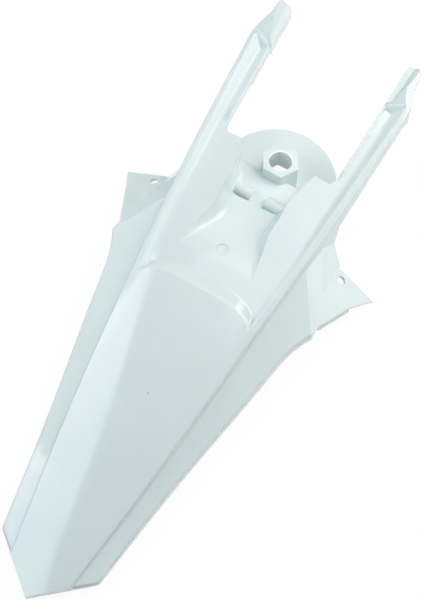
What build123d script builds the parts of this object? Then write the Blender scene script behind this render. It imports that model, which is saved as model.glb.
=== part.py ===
from build123d import *
import os
from math import cos, radians, sin

os.makedirs("parts", exist_ok=True)

# Motorcycle rear fender, one moulded piece. Millimetres, +X forward, +Y left, +Z up.
# The origin is the middle of the seat bolt hole, on the top face of its boss.
# The walls are what is left of an outer form when an inner form, one wall further in, is taken out of it.

wall = 2.6
floor_level = -130
sky_level = 80
far = 200

# raised body and rails: place along the length, half width, height of the side edge
body_stations = (
    (-548, 33, -48),
    (-430, 49, -26),
    (-300, 65, -4),
    (-180, 77, 11),
    (-60, 88, 18),
    (40, 95, 21.5),
    (165, 103, 25.5),
)
crown_radius = 240
side_draft = 0.12

# flange: place, half width inside and outside, height inside and outside
flange_stations = (
    (-548, 31, 50, -49.5, -51),
    (-430, 50, 68, -31, -35),
    (-300, 67, 92, -13, -25),
    (-180, 79, 120, -1, -18),
    (-90, 88, 140, 3, -14),
)
flange_overlap = 12
lip_line = ((-560, -58), (-430, -46), (-300, -36), (-180, -29), (-138, -31))

# front end of the flange, a short slope down to the ear
riser_point = (-93, 86, 2)
riser_normal = (0.347, 0.784, 0.515)
flange_front = ((-140, 124), (-136, 122), (-85, 86))

# outline seen from above, left half
tail_tip = -541
tail_corner = (-491, 60)
tail_corner_radius = 9
flange_edge = ((-350, 81.5), (-215, 106), (-180, 113), (-153, 124.5))
arm_swell = ((80, 101), (100, 100.5), (116, 97.5), (138, 90))
arm_tip = (156, 88)
arm_lead = 20
arm_inner = ((4.5, 67.9), (156, 72.8))
shelf_front = -4.5
shelf_corner = 63.5

# ear: a panel, a tab folded down in front of it and a facet up to the rail
ear_apex = (-106, 112.6, -16.4)
panel_normal = (0, 0.568, 0.823)
tab_normal = (0.457, 0.443, 0.771)
facet_normal = (0.319, 0.854, 0.411)
ear_root = 70
ear_heel = (-140, 124)
ear_fold = (-100.5, 141.4)
ear_tip = (-74.6, 156.6)
ear_notch = (-65, 112)
ear_back = ((-96, ear_root), (-99, 86.5), (-143, 122))
ear_hollow_back = ((-104, ear_root), (-106, 88), (-150, 122))
ear_front = -58
ear_hollow_front = -40
facet_plan = ((-96, ear_root), (-100, 86), (-124, 107), (-110, 116), (-64, 110), (-30, 100), (-30, ear_root))
ear_lip = 12
ear_lip_span = (-138, -97)
ear_lip_inner = 100
ear_hole = (-78, 117.5, -39.5)
ear_hole_radius = 5

# seat deck between the rails: place, height on the centre line, fall to each side
deck_stations = (
    (-260, 5, 11),
    (-180, 17, 11),
    (-140, 20, 8),
    (-60, 22.5, 7),
    (20, 24, 6),
    (80, 25, 6),
    (140, 26, 6),
)
deck_fall_at = 70
deck_half = 105
recess_rear = -106
recess_rear_radius = 58
recess_rear_slope = 2.85
recess_rear_growth = 1.2
recess_half_rear = 54
recess_half_front = 63
recess_slope = 1.15

# arms: the groove ends in a tab, with a slope from the tab up to a ridge
groove_end = 86
groove_end_slope = 0.8
tab_level = 24.4
tab_rise = 1.5
tab_foot = (105, 76.5)
tab_foot_run = 0.06
tab_slope = 0.95
lip_width = 2.6
lip_profile = ((0.5, 14), (0.5, 18), (10.5, 22.4), (97.5, 23.9), (97.5, 14))
arm_bottom = ((-65, -47), (-34, -2), (30, 7), (103, 11), (103, 5), (170, 7))
flank_inner = 60

# valley in the middle of the deck: place, height on the centre line, fall to each side of the floor,
# half width of the floor, slope of the walls, radius at their foot
valley_stations = (
    (-150, 20.9, 3.8, 50, 1.2, 6),
    (-139, 20, 3.4, 45.6, 1.2, 6),
    (-122, 17.2, 1.9, 38.4, 1.1, 8),
    (-101, 10.3, 0.9, 28.2, 1, 9),
    (-85, 5, 0.5, 23.4, 0.75, 10),
    (-65, -2, 0.4, 24.6, 0.5, 8),
    (-45, -7, 0.4, 28.5, 0.25, 6),
    (-34, -8.8, 0.4, 34, 0.12, 6),
    (-23, -10.4, 0.4, 38.4, 0.06, 5),
    (-12, -11.8, 0.4, 41.6, 0.05, 5),
    (0, -13, 0.4, 44.6, 0.05, 5),
)

# the floor of the valley rounds down to the tongue; side walls beside it end on a slant
nose = ((-36, -7.9), (-22, -10))
cliff = -12
cliff_top = -12
cliff_foot = -26
cliff_half = ((-36, 35.5), (-4, 44.5))
gusset_foot = -18
gusset = ((-4, 14), (60, 14))
gusset_half = 78

# tongue, and the seat bolt boss that stands on it and leans further forward
tongue_middle = (-13.5, -39.3)
tongue_lean = 5.5
tongue_radius = 68
tongue_heel = 44
tongue_side = 10
bolt_lean = 10.8
boss_height = 44
hex_radius = 22.6
hex_draft = 1
hex_edge_radius = 1.5
bolt_hole_radius = 13
boss_top = 3

# two stops across the valley, a groove behind each, and the gate mark
stop_place = -48
stop_radius = 6.5
stop_crest = 2
stop_reach = 8
stop_root = 37
stop_end_radius = 2
slot_width = 2.2
slot_depth = 1.6
gate_place = -124.8
gate_height = 17.8
gate_radius = 6.75
gate_groove = 0.7
gate_slope = 16

# radius, then points beside the edges that it rounds
rounded_edges = (
    (2.5, ((-300, 65, -4),)),
    (3, ((-320, 87, -26),)),
    (3, ((-41, 83, 21), (-175, 0, 24))),
    (4, ((-41, 76, 15), (-158, 0, 18.5))),
    (4, ((156, 88, 0), (156, 72.8, 0))),
)


def inward(points, inset):
    return [(along, half - inset) for along, half in points]


def body_form(inset):
    with BuildPart() as form:
        for along, half, edge in body_stations:
            side = half - inset
            low = side + side_draft * (edge - floor_level)
            top = edge + crown_radius - (crown_radius**2 - half**2) ** 0.5
            with BuildSketch(Plane.YZ.offset(along)):
                with BuildLine():
                    ThreePointArc((-side, edge - inset), (0, top - inset), (side, edge - inset))
                    Polyline((side, edge - inset), (low, floor_level), (-low, floor_level), (-side, edge - inset))
                make_face()
        loft()
    return form.part


def flange_form(inset):
    normal = Vector(*riser_normal)
    start = Vector(*riser_point) - normal * inset
    with BuildPart() as form:
        for along, inner, outer, high, low in flange_stations:
            fall = (high - low) / (outer - inner) * flange_overlap
            near = inner - flange_overlap
            wide = outer + flange_overlap
            top = high + fall - inset
            bottom = low - fall - inset
            with BuildSketch(Plane.YZ.offset(along)):
                with BuildLine():
                    Polyline((-wide, bottom), (-near, top), (near, top), (wide, bottom))
                    Polyline((wide, bottom), (wide, floor_level), (-wide, floor_level), (-wide, bottom))
                make_face()
        loft()
        for side in (1, -1):
            corner = (start.X, side * start.Y, start.Z)
            split(bisect_by=Plane(origin=corner, z_dir=(normal.X, side * normal.Y, normal.Z)), keep=Keep.BOTTOM)
    return form.part


def tail_plan(side, front, inset):
    # outline prism from the tail forward: a curved side edge, then straight runs across the front
    with BuildPart() as form:
        with BuildSketch(Plane.XY.offset(floor_level)) as plan:
            with BuildLine():
                back = (tail_tip + inset, 0)
                corner = (tail_corner[0], tail_corner[1] - inset)
                edge = Spline(corner, *side)
                Line(back, corner)
                Polyline(edge @ 1, *front, (front[-1][0], 0), back)
            make_face()
            mirror(about=Plane.XZ)
            fillet(plan.vertices().group_by(Axis.X)[1], tail_corner_radius)
        extrude(amount=sky_level - floor_level)
    return form.part


def arm_plan(inset):
    with BuildPart() as form:
        with BuildSketch(Plane.XY.offset(floor_level)):
            with BuildLine():
                swell = Spline(*inward(arm_swell, inset))
                tip = arm_tip[0] - inset
                back = tail_tip - far
                Polyline((back, 0), (back, far), (arm_swell[0][0] - arm_lead, far), swell @ 0)
                Polyline(swell @ 1, (tip, arm_tip[1] - inset), (tip, 0), (back, 0))
            make_face()
            mirror(about=Plane.XZ)
        extrude(amount=sky_level - floor_level)
    return form.part


def recess_form(drop):
    with BuildPart() as sides:
        for height in (0, sky_level):
            spread = height * recess_slope + drop
            rear = recess_rear - height * recess_rear_slope - drop
            front = groove_end + height * groove_end_slope + drop
            radius = recess_rear_radius + height * recess_rear_growth + drop
            half_rear = recess_half_rear + spread
            half_front = recess_half_front + spread
            corner = rear - radius + (radius**2 - half_rear**2) ** 0.5
            with BuildSketch(Plane.XY.offset(height)):
                with BuildLine():
                    ThreePointArc((corner, half_rear), (rear, 0), (corner, -half_rear))
                    Polyline((corner, -half_rear), (front, -half_front), (front, half_front), (corner, half_rear))
                make_face()
        loft(ruled=True)
    with BuildPart() as form:
        for along, middle, fall in deck_stations:
            radius = (deck_fall_at**2 + fall**2) / (2 * fall)
            edge = middle - radius + (radius**2 - deck_half**2) ** 0.5 - drop
            left = (deck_half, edge)
            right = (-deck_half, edge)
            with BuildSketch(Plane.YZ.offset(along)):
                with BuildLine():
                    ThreePointArc(right, (0, middle - drop), left)
                    Polyline(left, (deck_half, sky_level), (-deck_half, sky_level), right)
                make_face()
        loft()
        add(sides.part, mode=Mode.INTERSECT)
    return form.part


def valley_form(drop):
    with BuildPart() as front:
        with BuildSketch(Plane.XZ):
            with BuildLine():
                face = cliff - drop
                start, lead = [(along - drop, height - drop) for along, height in nose]
                turn = Bezier(start, lead, (face, cliff_top - drop), (face, cliff_foot - drop))
                Polyline(turn @ 1, (face, floor_level), (far, floor_level), (far, sky_level))
                Polyline((far, sky_level), (start[0], sky_level), start)
            make_face()
        extrude(amount=far, both=True)
        with BuildSketch(Plane.XY.offset(floor_level)):
            with BuildLine():
                rear, corner = [(along, half + drop) for along, half in cliff_half]
                Polyline((-far, 0), (-far, rear[1]), rear, corner, (far, corner[1]), (far, 0), (-far, 0))
            make_face()
            mirror(about=Plane.XZ)
        extrude(amount=sky_level - floor_level, mode=Mode.INTERSECT)
    with BuildPart() as form:
        for along, middle, fall, half, slope, foot_radius in valley_stations:
            low = middle - fall - drop
            wide = half + drop * ((1 + slope**2) ** 0.5 - slope)
            top = wide + slope * (sky_level - low)
            with BuildSketch(Plane.YZ.offset(along)) as section:
                with BuildLine():
                    ThreePointArc((-wide, low), (0, middle - drop), (wide, low))
                    Polyline((wide, low), (top, sky_level), (-top, sky_level), (-wide, low))
                make_face()
                fillet(section.vertices().group_by(Axis.Y)[0], foot_radius + drop)
        loft()
        add(front.part)
    return form.part


def sloped_prism(points, planes):
    # upright prism over a plan, cut down to what lies under every plane
    with BuildPart() as form:
        with BuildSketch(Plane.XY.offset(floor_level)):
            with BuildLine():
                Polyline(*points, close=True)
            make_face()
        extrude(amount=sky_level - floor_level)
        for origin, normal in planes:
            split(bisect_by=Plane(origin=origin, z_dir=normal), keep=Keep.BOTTOM)
    return form.part


def ear_form(inset):
    apex = Vector(*ear_apex)
    panel = (apex - Vector(*panel_normal) * inset, panel_normal)
    tab = (apex - Vector(*tab_normal) * inset, tab_normal)
    facet = (apex - Vector(*facet_normal) * inset, facet_normal)
    if inset:
        edge = inward((ear_heel, ear_fold), inset)
        open_front = ((ear_fold[0], far), (ear_hollow_front, far), (ear_hollow_front, ear_root))
        plan = (*inward(ear_hollow_back, inset), *edge, *open_front)
    else:
        plan = (*ear_back, ear_heel, ear_fold, ear_tip, ear_notch, (ear_front, ear_root))
    with BuildPart() as form:
        add(sloped_prism(plan, (panel, tab)))
        add(sloped_prism(facet_plan, (panel, facet)))
    return form.part


def arm_gap(grow):
    with BuildPart() as form:
        with BuildSketch(Plane.XY.offset(floor_level)):
            with BuildLine():
                start = (shelf_front - grow, 0)
                corner = (shelf_front - grow, shelf_corner + grow / 2)
                edge = inward(arm_inner, -grow)
                Polyline(start, corner, *edge, (far, edge[1][1]), (far, 0), start)
            make_face()
            mirror(about=Plane.XZ)
        extrude(amount=sky_level - floor_level)
    return form.part


def side_cut(points, half):
    # prism across the middle, drawn from the side
    with BuildPart() as form:
        with BuildSketch(Plane.XZ):
            with BuildLine():
                Polyline(*points, close=True)
            make_face()
        extrude(amount=half, both=True)
    return form.part


def tab_cut(inset):
    # space over the end tab, between the slopes that rise to the ridges
    start = groove_end + tab_level * groove_end_slope + inset
    low = tab_level - inset
    normal = Vector(-tab_foot_run, 1, -tab_slope).normalized()
    foot = Vector(*tab_foot, tab_level) + normal * inset
    with BuildPart() as form:
        add(side_cut(((start, low), (far, low + tab_rise), (far, sky_level), (start, sky_level)), far))
        for side in (1, -1):
            corner = (foot.X, side * foot.Y, foot.Z)
            split(bisect_by=Plane(origin=corner, z_dir=(normal.X, side * normal.Y, normal.Z)), keep=Keep.BOTTOM)
    return form.part


def solid_form(inset):
    # inset 0 is the outside of the moulding, one wall is the space under it
    with BuildPart() as flange:
        add(flange_form(inset))
        add(tail_plan(inward(flange_edge, inset), inward(flange_front, inset), inset), mode=Mode.INTERSECT)
    with BuildPart() as body:
        add(body_form(inset))
        wide_side = ((flange_edge[0][0], far), (0, far))
        add(tail_plan(wide_side, ((far, far),), inset), mode=Mode.INTERSECT)
        add(arm_plan(inset), mode=Mode.INTERSECT)
    ear = ear_form(inset)
    with BuildPart() as form:
        add(flange.part)
        add(body.part)
        add(ear)
        add(mirror(ear, about=Plane.XZ))
        add(recess_form(inset), mode=Mode.SUBTRACT)
        add(tab_cut(inset), mode=Mode.SUBTRACT)
        add(valley_form(inset), mode=Mode.SUBTRACT)
        add(arm_gap(inset), mode=Mode.SUBTRACT)
    return form.part


def edges_beside(form, points):
    found = []
    for along, half, height in points:
        for side in (1, -1):
            edge = form.edges().sort_by_distance((along, side * half, height))[0]
            if edge not in found:
                found.append(edge)
    return found


def leaning_plane(along, height, degrees):
    lean = radians(degrees)
    return Plane(origin=(along, 0, height), x_dir=(cos(lean), 0, -sin(lean)), z_dir=(sin(lean), 0, cos(lean)))


boss_plane = leaning_plane(0, 0, bolt_lean)
tongue_plane = leaning_plane(*tongue_middle, tongue_lean)
under_tongue = tongue_plane.offset(-wall)

with BuildPart() as tongue:
    with BuildSketch(tongue_plane):
        Circle(tongue_radius)
        rear = cliff - wall - tongue_middle[0]
        front = tongue_side - tongue_middle[0]
        for side in (1, -1):
            with BuildLine():
                Polyline((rear, 0), (rear, side * tongue_heel), (front, side * tongue_radius), (front, side * far))
                Polyline((front, side * far), (-far, side * far), (-far, 0), (rear, 0))
            make_face(mode=Mode.SUBTRACT)
    extrude(amount=-wall)

with BuildPart() as boss:
    with BuildSketch(boss_plane.offset(-boss_height)):
        RegularPolygon(hex_radius, 6, rotation=30)
    extrude(amount=boss_height, taper=hex_draft)
    fillet(boss.edges().filter_by(lambda edge: edge.length > boss_height / 2), hex_edge_radius)
    split(bisect_by=under_tongue, keep=Keep.TOP)

with BuildPart() as boss_core:
    with BuildSketch(boss_plane.offset(-boss_height)):
        RegularPolygon(hex_radius - wall, 6, rotation=30)
    extrude(amount=boss_height - boss_top, taper=hex_draft)


def stop_form(inset):
    # half round bar across the valley, with a straight foot that reaches below the floor
    with BuildPart() as form:
        with BuildSketch(Plane.XZ.offset(-stop_reach - inset)):
            with Locations((stop_place, stop_crest - stop_radius)):
                Circle(stop_radius - inset)
            with Locations((stop_place, stop_crest - 2 * stop_radius)):
                Rectangle(2 * (stop_radius - inset), 2 * stop_radius)
        extrude(amount=stop_reach + inset - stop_root)
        if not inset:
            fillet(form.faces().sort_by(Axis.Y)[0].edges(), stop_end_radius)
    return form.part


stop = stop_form(0)
stop_core = stop_form(wall)

with BuildPart() as slot:
    add(valley_form(slot_depth))
    slot_at = stop_place - stop_radius - slot_width / 2
    with Locations((slot_at, (stop_reach + stop_root) / 2, stop_crest - far / 2)):
        Box(slot_width, stop_root - stop_reach, far, mode=Mode.INTERSECT)

with BuildPart() as arm_lip:
    run = Vector(arm_inner[1][0] - arm_inner[0][0], arm_inner[1][1] - arm_inner[0][1], 0)
    with BuildSketch(Plane(origin=(*arm_inner[0], 0), x_dir=run, z_dir=(run.Y, -run.X, 0))):
        with BuildLine():
            Polyline(*lip_profile, close=True)
        make_face()
    extrude(amount=-lip_width)

with BuildPart() as ear_hole_tool:
    with BuildSketch(Plane(origin=ear_hole, z_dir=tab_normal)):
        Circle(ear_hole_radius)
    extrude(amount=3 * wall, both=True)

with BuildPart() as gate_ring:
    gate_plane = leaning_plane(gate_place, gate_height, gate_slope)
    with BuildSketch(gate_plane):
        Circle(gate_radius)
        Circle(gate_radius - gate_groove, mode=Mode.SUBTRACT)
    extrude(amount=gate_groove, both=True)

under_panel = Vector(*ear_apex) - Vector(*panel_normal) * ear_lip
lip_start, lip_stop = ear_lip_span
ear_lip_plan = ((lip_start, ear_lip_inner), (lip_start, far), (lip_stop, far), (lip_stop, ear_lip_inner))
ear_trim = sloped_prism(ear_lip_plan, ((under_panel, panel_normal),))

lip_trim = side_cut((*lip_line, (lip_line[-1][0], floor_level), (lip_line[0][0], floor_level)), far)
gusset_line = ((cliff, gusset_foot), *gusset)
gusset_trim = side_cut((*gusset_line, (gusset[-1][0], floor_level), (cliff, floor_level)), gusset_half)

with BuildPart() as tongue_trim:
    with Locations(((stop_place + tongue_side) / 2, 0, floor_level)):
        Box(tongue_side - stop_place, 2 * gusset_half, 2 * far)
    split(bisect_by=under_tongue, keep=Keep.BOTTOM)

with BuildPart() as flank_trim:
    add(side_cut((*arm_bottom, (arm_bottom[-1][0], floor_level), (arm_bottom[0][0], floor_level)), far))
    Box(4 * far, 2 * flank_inner, 2 * far, mode=Mode.SUBTRACT)

with BuildPart() as rear_fender:
    add(solid_form(0))
    for radius, points in rounded_edges:
        fillet(edges_beside(rear_fender, points), radius)
    for one in (stop, arm_lip.part):
        add(one)
        add(mirror(one, about=Plane.XZ))
    add(solid_form(wall), mode=Mode.SUBTRACT)
    for cut in (lip_trim, gusset_trim, tongue_trim.part, flank_trim.part):
        add(cut, mode=Mode.SUBTRACT)
    add(boss.part)
    add(tongue.part)
    add(boss_core.part, mode=Mode.SUBTRACT)
    for cut in (ear_trim, ear_hole_tool.part, slot.part, stop_core):
        add(cut, mode=Mode.SUBTRACT)
        add(mirror(cut, about=Plane.XZ), mode=Mode.SUBTRACT)
    add(gate_ring.part, mode=Mode.SUBTRACT)
    with BuildSketch(boss_plane):
        Circle(bolt_hole_radius)
    extrude(amount=2 * boss_top, both=True, mode=Mode.SUBTRACT)

rear_fender.part.label = "rear_fender"
export_step(rear_fender.part, "parts/rear_fender.step")
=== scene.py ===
# %% [markdown]
# A rear fender for an off-road motorcycle, moulded in one shot from white polypropylene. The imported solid
# already has every form of the moulding, so this lesson is about what the eye reads next: the sheen of
# the plastic, the small marks that moulding and storage leave, and a soft studio that shows the folds of
# one thin sheet.

import bpy
import bmesh
from mathutils import Matrix, Vector


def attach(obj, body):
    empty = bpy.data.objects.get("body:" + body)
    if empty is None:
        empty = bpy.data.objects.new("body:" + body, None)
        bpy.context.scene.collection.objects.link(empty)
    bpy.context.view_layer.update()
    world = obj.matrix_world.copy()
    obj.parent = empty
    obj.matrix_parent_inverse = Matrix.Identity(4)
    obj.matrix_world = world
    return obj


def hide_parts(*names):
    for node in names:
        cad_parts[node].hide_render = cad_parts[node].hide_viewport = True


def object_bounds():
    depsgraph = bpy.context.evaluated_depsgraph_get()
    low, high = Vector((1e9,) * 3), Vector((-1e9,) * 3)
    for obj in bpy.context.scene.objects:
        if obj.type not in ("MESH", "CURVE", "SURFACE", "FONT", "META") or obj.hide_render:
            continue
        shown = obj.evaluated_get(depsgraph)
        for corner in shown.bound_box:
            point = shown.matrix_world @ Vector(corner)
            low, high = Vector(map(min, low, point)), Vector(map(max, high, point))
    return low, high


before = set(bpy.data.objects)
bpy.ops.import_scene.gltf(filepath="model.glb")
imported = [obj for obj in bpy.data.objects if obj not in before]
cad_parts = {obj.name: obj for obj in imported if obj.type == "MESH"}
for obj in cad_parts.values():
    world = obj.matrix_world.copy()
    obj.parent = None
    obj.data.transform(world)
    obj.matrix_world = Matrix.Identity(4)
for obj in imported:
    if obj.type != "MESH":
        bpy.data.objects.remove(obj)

MM = 0.001
cad_low, cad_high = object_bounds()
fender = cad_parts["rear_fender"]
print("solid box in mm:", [round((b - a) / MM, 1) for a, b in zip(cad_low, cad_high)])

# %% [markdown]
# The photograph was taken with a long lens from above the right rear corner. Its camera could be turned by
# hand until the outlines agree. Here it was fitted to pairs of points that mirror each other on the fender,
# which gives its place, what it looks at and which way is up in the picture. The fit gives the focal length
# in pixels, and the sensor spans the picture's longer side, which is its height.

# %% Camera
picture_height, focal_pixels = 600, 2002.4
camera_place = Vector((-693.2, -438.2, 2028.5)) * MM
camera_target = Vector((-174.6, -15.2, 0)) * MM
picture_up = Vector((0.829, 0.466, 0.309))


def aimed(place, target, up):
    back = (place - target).normalized()
    right = up.cross(back).normalized()
    axes = Matrix((right, back.cross(right), back)).transposed()
    return Matrix.Translation(place) @ axes.to_4x4()


camera_data = bpy.data.cameras.new("camera")
camera = bpy.data.objects.new("camera", camera_data)
bpy.context.collection.objects.link(camera)
camera_data.lens = camera_data.sensor_width * focal_pixels / picture_height
camera.matrix_world = aimed(camera_place, camera_target, picture_up)
bpy.context.scene.camera = camera
print("lens", round(camera_data.lens, 1), "mm")

# %% [markdown]
# Colours are written as sRGB hex values, as they would be picked from a picture, and turned to the linear
# values that the shader works in. One helper adds a node, sets its values and links its inputs, so that a
# material below reads as a list of what it is made of.

# %% Colour and node helpers


def linear(code):
    channels = [int(code[i:i + 2], 16) / 255 for i in (1, 3, 5)]
    return [c / 12.92 if c <= 0.04045 else ((c + 0.055) / 1.055) ** 2.4 for c in channels] + [1]


def add(tree, kind, inputs=(), **settings):
    node = tree.nodes.new(kind)
    for name, value in settings.items():
        setattr(node, name, value)
    for name, value in dict(inputs).items():
        if isinstance(value, bpy.types.NodeSocket):
            tree.links.new(value, node.inputs[name])
        else:
            node.inputs[name].default_value = value
    return node


def empty_material(name):
    material = bpy.data.materials.new(name)
    material.use_nodes = True
    material.node_tree.nodes.clear()
    return material, material.node_tree


print("white in linear light:", [round(c, 3) for c in linear("#E4EFEF")[:3]])

# %% [markdown]
# The finish is polypropylene against a polished steel mould. Such a face is glossy but never a mirror: the
# cooling wall pulls slow waves into it, the skin keeps a faint orange peel, and the melt flows so that the
# white is a little cloudy. One flat white could stand for it, but then every large face would read as
# painted card. So each of these marks is a noise on the piece's own coordinates, at its real size.

# %% Marks of the moulding
plastic, plastic_tree = empty_material("moulded_white_polypropylene")
where = add(plastic_tree, "ShaderNodeTexCoord").outputs["Object"]


def noise(vector, size, detail):
    inputs = {"Vector": vector, "Scale": 1 / size, "Detail": detail}
    return add(plastic_tree, "ShaderNodeTexNoise", inputs).outputs[0]


def mixed(share, first, second):
    # The Mix node keeps sockets for every kind of value: for colours, 6 and 7 go in and 2 comes out.
    inputs = {0: share, 6: first, 7: second}
    return add(plastic_tree, "ShaderNodeMix", inputs, data_type="RGBA").outputs[2]


cloud_size = 70 * MM
white = mixed(noise(where, cloud_size, 3), linear("#DFEBEC"), linear("#E9F3F3"))

wave_size, wave_height = 40 * MM, 0.05 * MM
waved = add(plastic_tree, "ShaderNodeBump", {
    "Height": noise(where, wave_size, 0),
    "Strength": 1,
    "Distance": wave_height,
})

peel_size, peel_height = 3 * MM, 0.004 * MM
skin = add(plastic_tree, "ShaderNodeBump", {
    "Height": noise(where, peel_size, 1),
    "Strength": 1,
    "Distance": peel_height,
    "Normal": waved.outputs[0],
})
print("waves", wave_size / MM, "mm apart, orange peel", peel_size / MM, "mm")

# %% [markdown]
# A fender that has been stored and handled is not equally glossy all over. Fine scuffs run along the blade,
# the way it is slid in and out of a rack, and they only dull the gloss. They could be drawn one by one. A noise
# that is drawn out along the blade gives as many as are needed, and a small turn keeps it off the noise's own
# grid.

# %% Scuffs
scuff_length, scuff_width, scuff_turn = 45 * MM, 0.9 * MM, 0.5
scuff_lines = add(plastic_tree, "ShaderNodeMapping", {
    "Vector": where,
    "Rotation": (0, 0, scuff_turn),
    "Scale": (1 / scuff_length, 1 / scuff_width, 1 / scuff_width),
})
unscuffed_below, scuffed_above = 0.6, 0.75
gloss, dulled = 0.10, 0.18
roughness = add(plastic_tree, "ShaderNodeMapRange", {
    "Value": noise(scuff_lines.outputs[0], 1, 2),
    "From Min": unscuffed_below,
    "From Max": scuffed_above,
    "To Min": gloss,
    "To Max": dulled,
})
print("roughness from", gloss, "to", dulled, "where it is scuffed")

# %% [markdown]
# Two small spots break the white. One dark grain is burnt into the middle of the blade, which is common in
# light mouldings, and a thumb has left a faint grey smudge on the left flange. Both could be painted on a
# picture, but a distance from a point does the same and stays sharp from near by.

# %% Grain and smudge


def spot(colour, place, radius, strength, shade):
    away = add(plastic_tree, "ShaderNodeVectorMath", {0: where, 1: place}, operation="DISTANCE")
    core = 0.4 * radius
    share = add(plastic_tree, "ShaderNodeMapRange", {
        "Value": away.outputs["Value"],
        "From Min": core,
        "From Max": radius,
        "To Min": strength,
        "To Max": 0,
    })
    print("spot of", round(radius / MM, 1), "mm at", [round(c / MM) for c in place])
    return mixed(share.outputs[0], colour, shade)


grain_place, grain_radius = Vector((-297.6, -9.4, 5.2)) * MM, 1.0 * MM
smudge_place, smudge_radius = Vector((-401, 60.8, -28.8)) * MM, 6 * MM
white = spot(white, grain_place, grain_radius, 0.6, linear("#4A4A46"))
white = spot(white, smudge_place, smudge_radius, 0.16, linear("#7C8684"))

# %% [markdown]
# The shader joins them. A bare diffuse white would look like chalk. The index is that of polypropylene, which
# gives the gloss its strength, and a little light passes under the skin, as it does in any thin wall of this
# plastic, which softens the shade beside the folds and the stops.

# %% Plastic on the fender
polypropylene_index = 1.49
under_skin, reach, reach_by_colour = 0.25, 4 * MM, (1, 0.95, 0.85)
shader = add(plastic_tree, "ShaderNodeBsdfPrincipled", {
    "Base Color": white,
    "Roughness": roughness.outputs[0],
    "IOR": polypropylene_index,
    "Subsurface Weight": under_skin,
    "Subsurface Radius": reach_by_colour,
    "Subsurface Scale": reach,
    "Normal": skin.outputs[0],
})
add(plastic_tree, "ShaderNodeOutputMaterial", {"Surface": shader.outputs["BSDF"]})
print(plastic.name, "has", len(plastic_tree.nodes), "nodes")

# %% [markdown]
# The dressed piece is a copy of the solid, because one slope on it has to change. The solid comes as loose
# triangles, each with its own three corners and normals. They could be merged by a modifier, which would lose
# the normals. So corners that agree to a thousandth of a millimetre become one point here, and the normals are
# kept beside the faces.

# %% Weld the solid's loose triangles
place_digits = 6


def weld(mesh):
    places, faces, normals = {}, [], []
    for face in mesh.polygons:
        corners = [tuple(round(c, place_digits) for c in mesh.vertices[v].co) for v in face.vertices]
        if len(set(corners)) == len(corners):
            faces.append([places.setdefault(corner, len(places)) for corner in corners])
            normals.append([mesh.corner_normals[loop].vector.copy() for loop in face.loop_indices])
    return [Vector(place) for place in places], faces, normals


points, faces, normals = weld(fender.data)
print(len(fender.data.vertices), "loose corners became", len(points), "points")

# %% [markdown]
# On each arm, the groove climbs to the end tab over a long slope, which the solid makes too steep. A new slope
# could be cut in. It is enough that the points of the old one slide forward along the arm: the higher the
# further, and less beside the arm's lip and crest. The faces around the slope slide along themselves, so they
# keep the solid's own smooth shading, and only the slope gets new normals.

# %% Longer groove ends
slope_start, steep, gentle = 86 * MM, 0.8, 2.4
groove_floor, wall = 17 * MM, 2.6 * MM
inner_lip, ridge, crest = 74 * MM, 82 * MM, 96 * MM
near, same_way = 0.3 * MM, 0.999


def slide(point):
    behind = point.x - slope_start - steep * point.z
    if point.z < groove_floor or min(abs(behind), abs(behind - wall)) > near:
        return 0
    out = abs(point.y)
    share = min((out - inner_lip) / (ridge - inner_lip), (crest - out) / (crest - ridge))
    return (gentle - steep) * (point.z - groove_floor) * max(0, min(1, share))


moved = [point + Vector((slide(point), 0, 0)) for point in points]
steep_normal = Vector((-1, 0, steep)).normalized()
slope_faces = [i for i, corners in enumerate(normals) if abs(corners[0].dot(steep_normal)) > same_way]
turned = {}
for i in slope_faces:
    a, b, c = (moved[v] for v in faces[i])
    for v in faces[i]:
        turned[v] = turned.get(v, Vector()) + (b - a).cross(c - a)
for i in slope_faces:
    normals[i] = [turned[v].normalized() for v in faces[i]]
print("longest slide", round(max(map(slide, points)) / MM, 1), "mm on", len(slope_faces), "slope faces")

# %% [markdown]
# Points, faces and normals make the piece that is seen. It stands in for the solid on the same body, so it
# lies where the solid lies.

# %% Dressed moulding
moulding_mesh = bpy.data.meshes.new("moulded_fender")
moulding_mesh.from_pydata(moved, [], faces)
moulding_mesh.shade_smooth()
moulding_mesh.normals_split_custom_set([normal for corners in normals for normal in corners])
moulding_mesh.materials.append(plastic)
moulding = bpy.data.objects.new("moulded_fender", moulding_mesh)
bpy.context.collection.objects.link(moulding)
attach(moulding, "root")
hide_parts("rear_fender")
print(moulding.name, "stands for the solid with", len(moulding_mesh.polygons), "triangles")

# %% [markdown]
# The fender lies on white paper. The camera sees the paper as plain white, with only a breath of the shadow
# left, while for the lamps it is an ordinary pale sheet that throws light back under the flanges. Light Path
# tells the two apart, so the white behind the object adds no light to it.

# %% White paper floor
paper_size = 6.0
sheet = bpy.data.meshes.new("paper")
form = bmesh.new()
bmesh.ops.create_grid(form, x_segments=1, y_segments=1, size=paper_size / 2)
bmesh.ops.translate(form, vec=(0, 0, cad_low.z), verts=form.verts)
form.to_mesh(sheet)
form.free()
floor = bpy.data.objects.new("paper", sheet)
bpy.context.collection.objects.link(floor)


def seen_straight_or_mirrored(tree):
    rays = add(tree, "ShaderNodeLightPath").outputs
    seen = add(tree, "ShaderNodeMath", {
        0: rays["Is Camera Ray"],
        1: rays["Is Glossy Ray"],
    }, operation="MAXIMUM")
    return add(tree, "ShaderNodeMath", {
        0: seen.outputs[0],
        1: rays["Is Transmission Ray"],
    }, operation="MAXIMUM").outputs[0]


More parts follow.
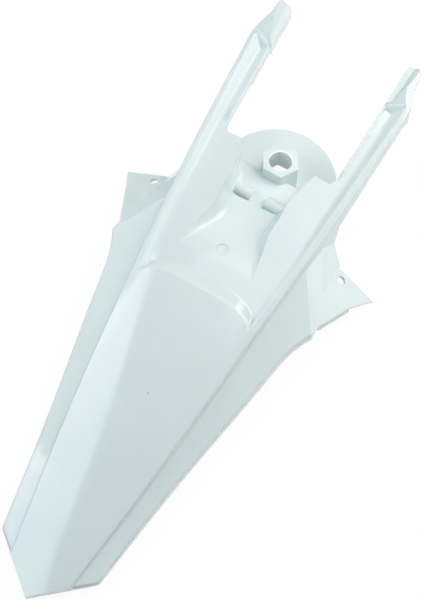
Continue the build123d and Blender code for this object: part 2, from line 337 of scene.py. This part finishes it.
paper, paper_tree = empty_material("white_paper_floor")
white_share, white_strength = 0.9, 1.04
plain_white = add(paper_tree, "ShaderNodeMath", {
    0: seen_straight_or_mirrored(paper_tree),
    1: white_share,
}, operation="MULTIPLY")
fibres = add(paper_tree, "ShaderNodeBsdfDiffuse", {"Color": linear("#F4F4F4")})
glow = add(paper_tree, "ShaderNodeEmission", {"Color": linear("#FFFFFF"), "Strength": white_strength})
surface = add(paper_tree, "ShaderNodeMixShader", {
    0: plain_white.outputs[0],
    1: fibres.outputs[0],
    2: glow.outputs[0],
})
add(paper_tree, "ShaderNodeOutputMaterial", {"Surface": surface.outputs[0]})
sheet.materials.append(paper)
print("paper lies at", round(cad_low.z / MM, 1), "mm")

# %% [markdown]
# Six soft lamps do the rest. Two cool panels in one line above the left side mirror in the left half of the
# blade and give it its bright edge along the crown. A warm softbox from the front right lights the deck, a cool
# one lower on the right lights the right flange, and two weaker ones fill the left side and the top. Their
# strengths and tints were found by rendering each lamp alone and weighing them against the photograph's tones.
# In the photograph the bolt hole is as white as the paper, so a last lamp, as small as a coin, sits inside the
# boss and lifts the shade in its hollow.

# %% Lamps


def softbox(name, place, target, size, watts, tint, up=(0, 0, 1)):
    lamp = bpy.data.lights.new(name, "AREA")
    lamp.shape = "RECTANGLE"
    lamp.size, lamp.size_y = size
    lamp.energy = watts
    lamp.color = linear(tint)[:3]
    holder = bpy.data.objects.new(name, lamp)
    bpy.context.collection.objects.link(holder)
    holder.matrix_world = aimed(Vector(place), Vector(target), Vector(up))
    print(name, watts, "W")


panel_middle = Vector((-0.967, 1.275, 2.0))
panel_run, panel_across = Vector((0.62, 0.785, 0)), Vector((-0.785, 0.62, 0))
panel_length, panel_width = 1.05, 0.9
for name, side, watts, tint in (("front_panel", 1, 13, "#F6F9FF"), ("rear_panel", -1, 12, "#E0F6FF")):
    place = panel_middle + panel_run * side * panel_length / 2
    below = place - Vector((0, 0, 1))
    softbox(name, place, below, (panel_length, panel_width), watts, tint, panel_across)

softbox("warm_key", (1.1, -0.86, 1.44), (-0.1, 0, 0), (1.2, 1.2), 18, "#FFF7EC")
softbox("right_key", (0.6, -1.6, 0.9), (-0.1, 0, 0), (1.5, 1.1), 12, "#E9FAFF")
softbox("left_fill", (-0.25, 1.6, 1.0), (-0.2, 0, 0), (1.6, 1.0), 8.5, "#F2FFFB")
softbox("top_fill", (0.7, -0.2, 2.1), (0, 0, 0), (1.8, 1.8), 14.5, "#FFFDFF")

hole_axis, lamp_depth, lamp_side = Vector((0.187, 0, 0.982)), 12 * MM, 24 * MM
hole_lamp = -lamp_depth * hole_axis
softbox("bolt_hole_fill", hole_lamp, (0, 0, 0), (lamp_side, lamp_side), 0.004, "#FFFFFF", (0, 1, 0))

# %% [markdown]
# Beyond the paper the room is white too, but only to the camera and in reflections, as the paper is. It lights
# nothing, so the lamps alone decide the tones.

# %% White room
room = bpy.data.worlds.new("white_room")
bpy.context.scene.world = room
room.use_nodes = True
room_tree = room.node_tree
room_tree.nodes.clear()
backdrop = add(room_tree, "ShaderNodeBackground", {
    "Color": linear("#FFFFFF"),
    "Strength": seen_straight_or_mirrored(room_tree),
})
add(room_tree, "ShaderNodeOutputWorld", {"Surface": backdrop.outputs[0]})
print(room.name, "has", len(room_tree.nodes), "nodes")

# %% [markdown]
# The colours are shown as they are, with no film look.

# %% Finish
bpy.context.scene.view_settings.view_transform = "Standard"
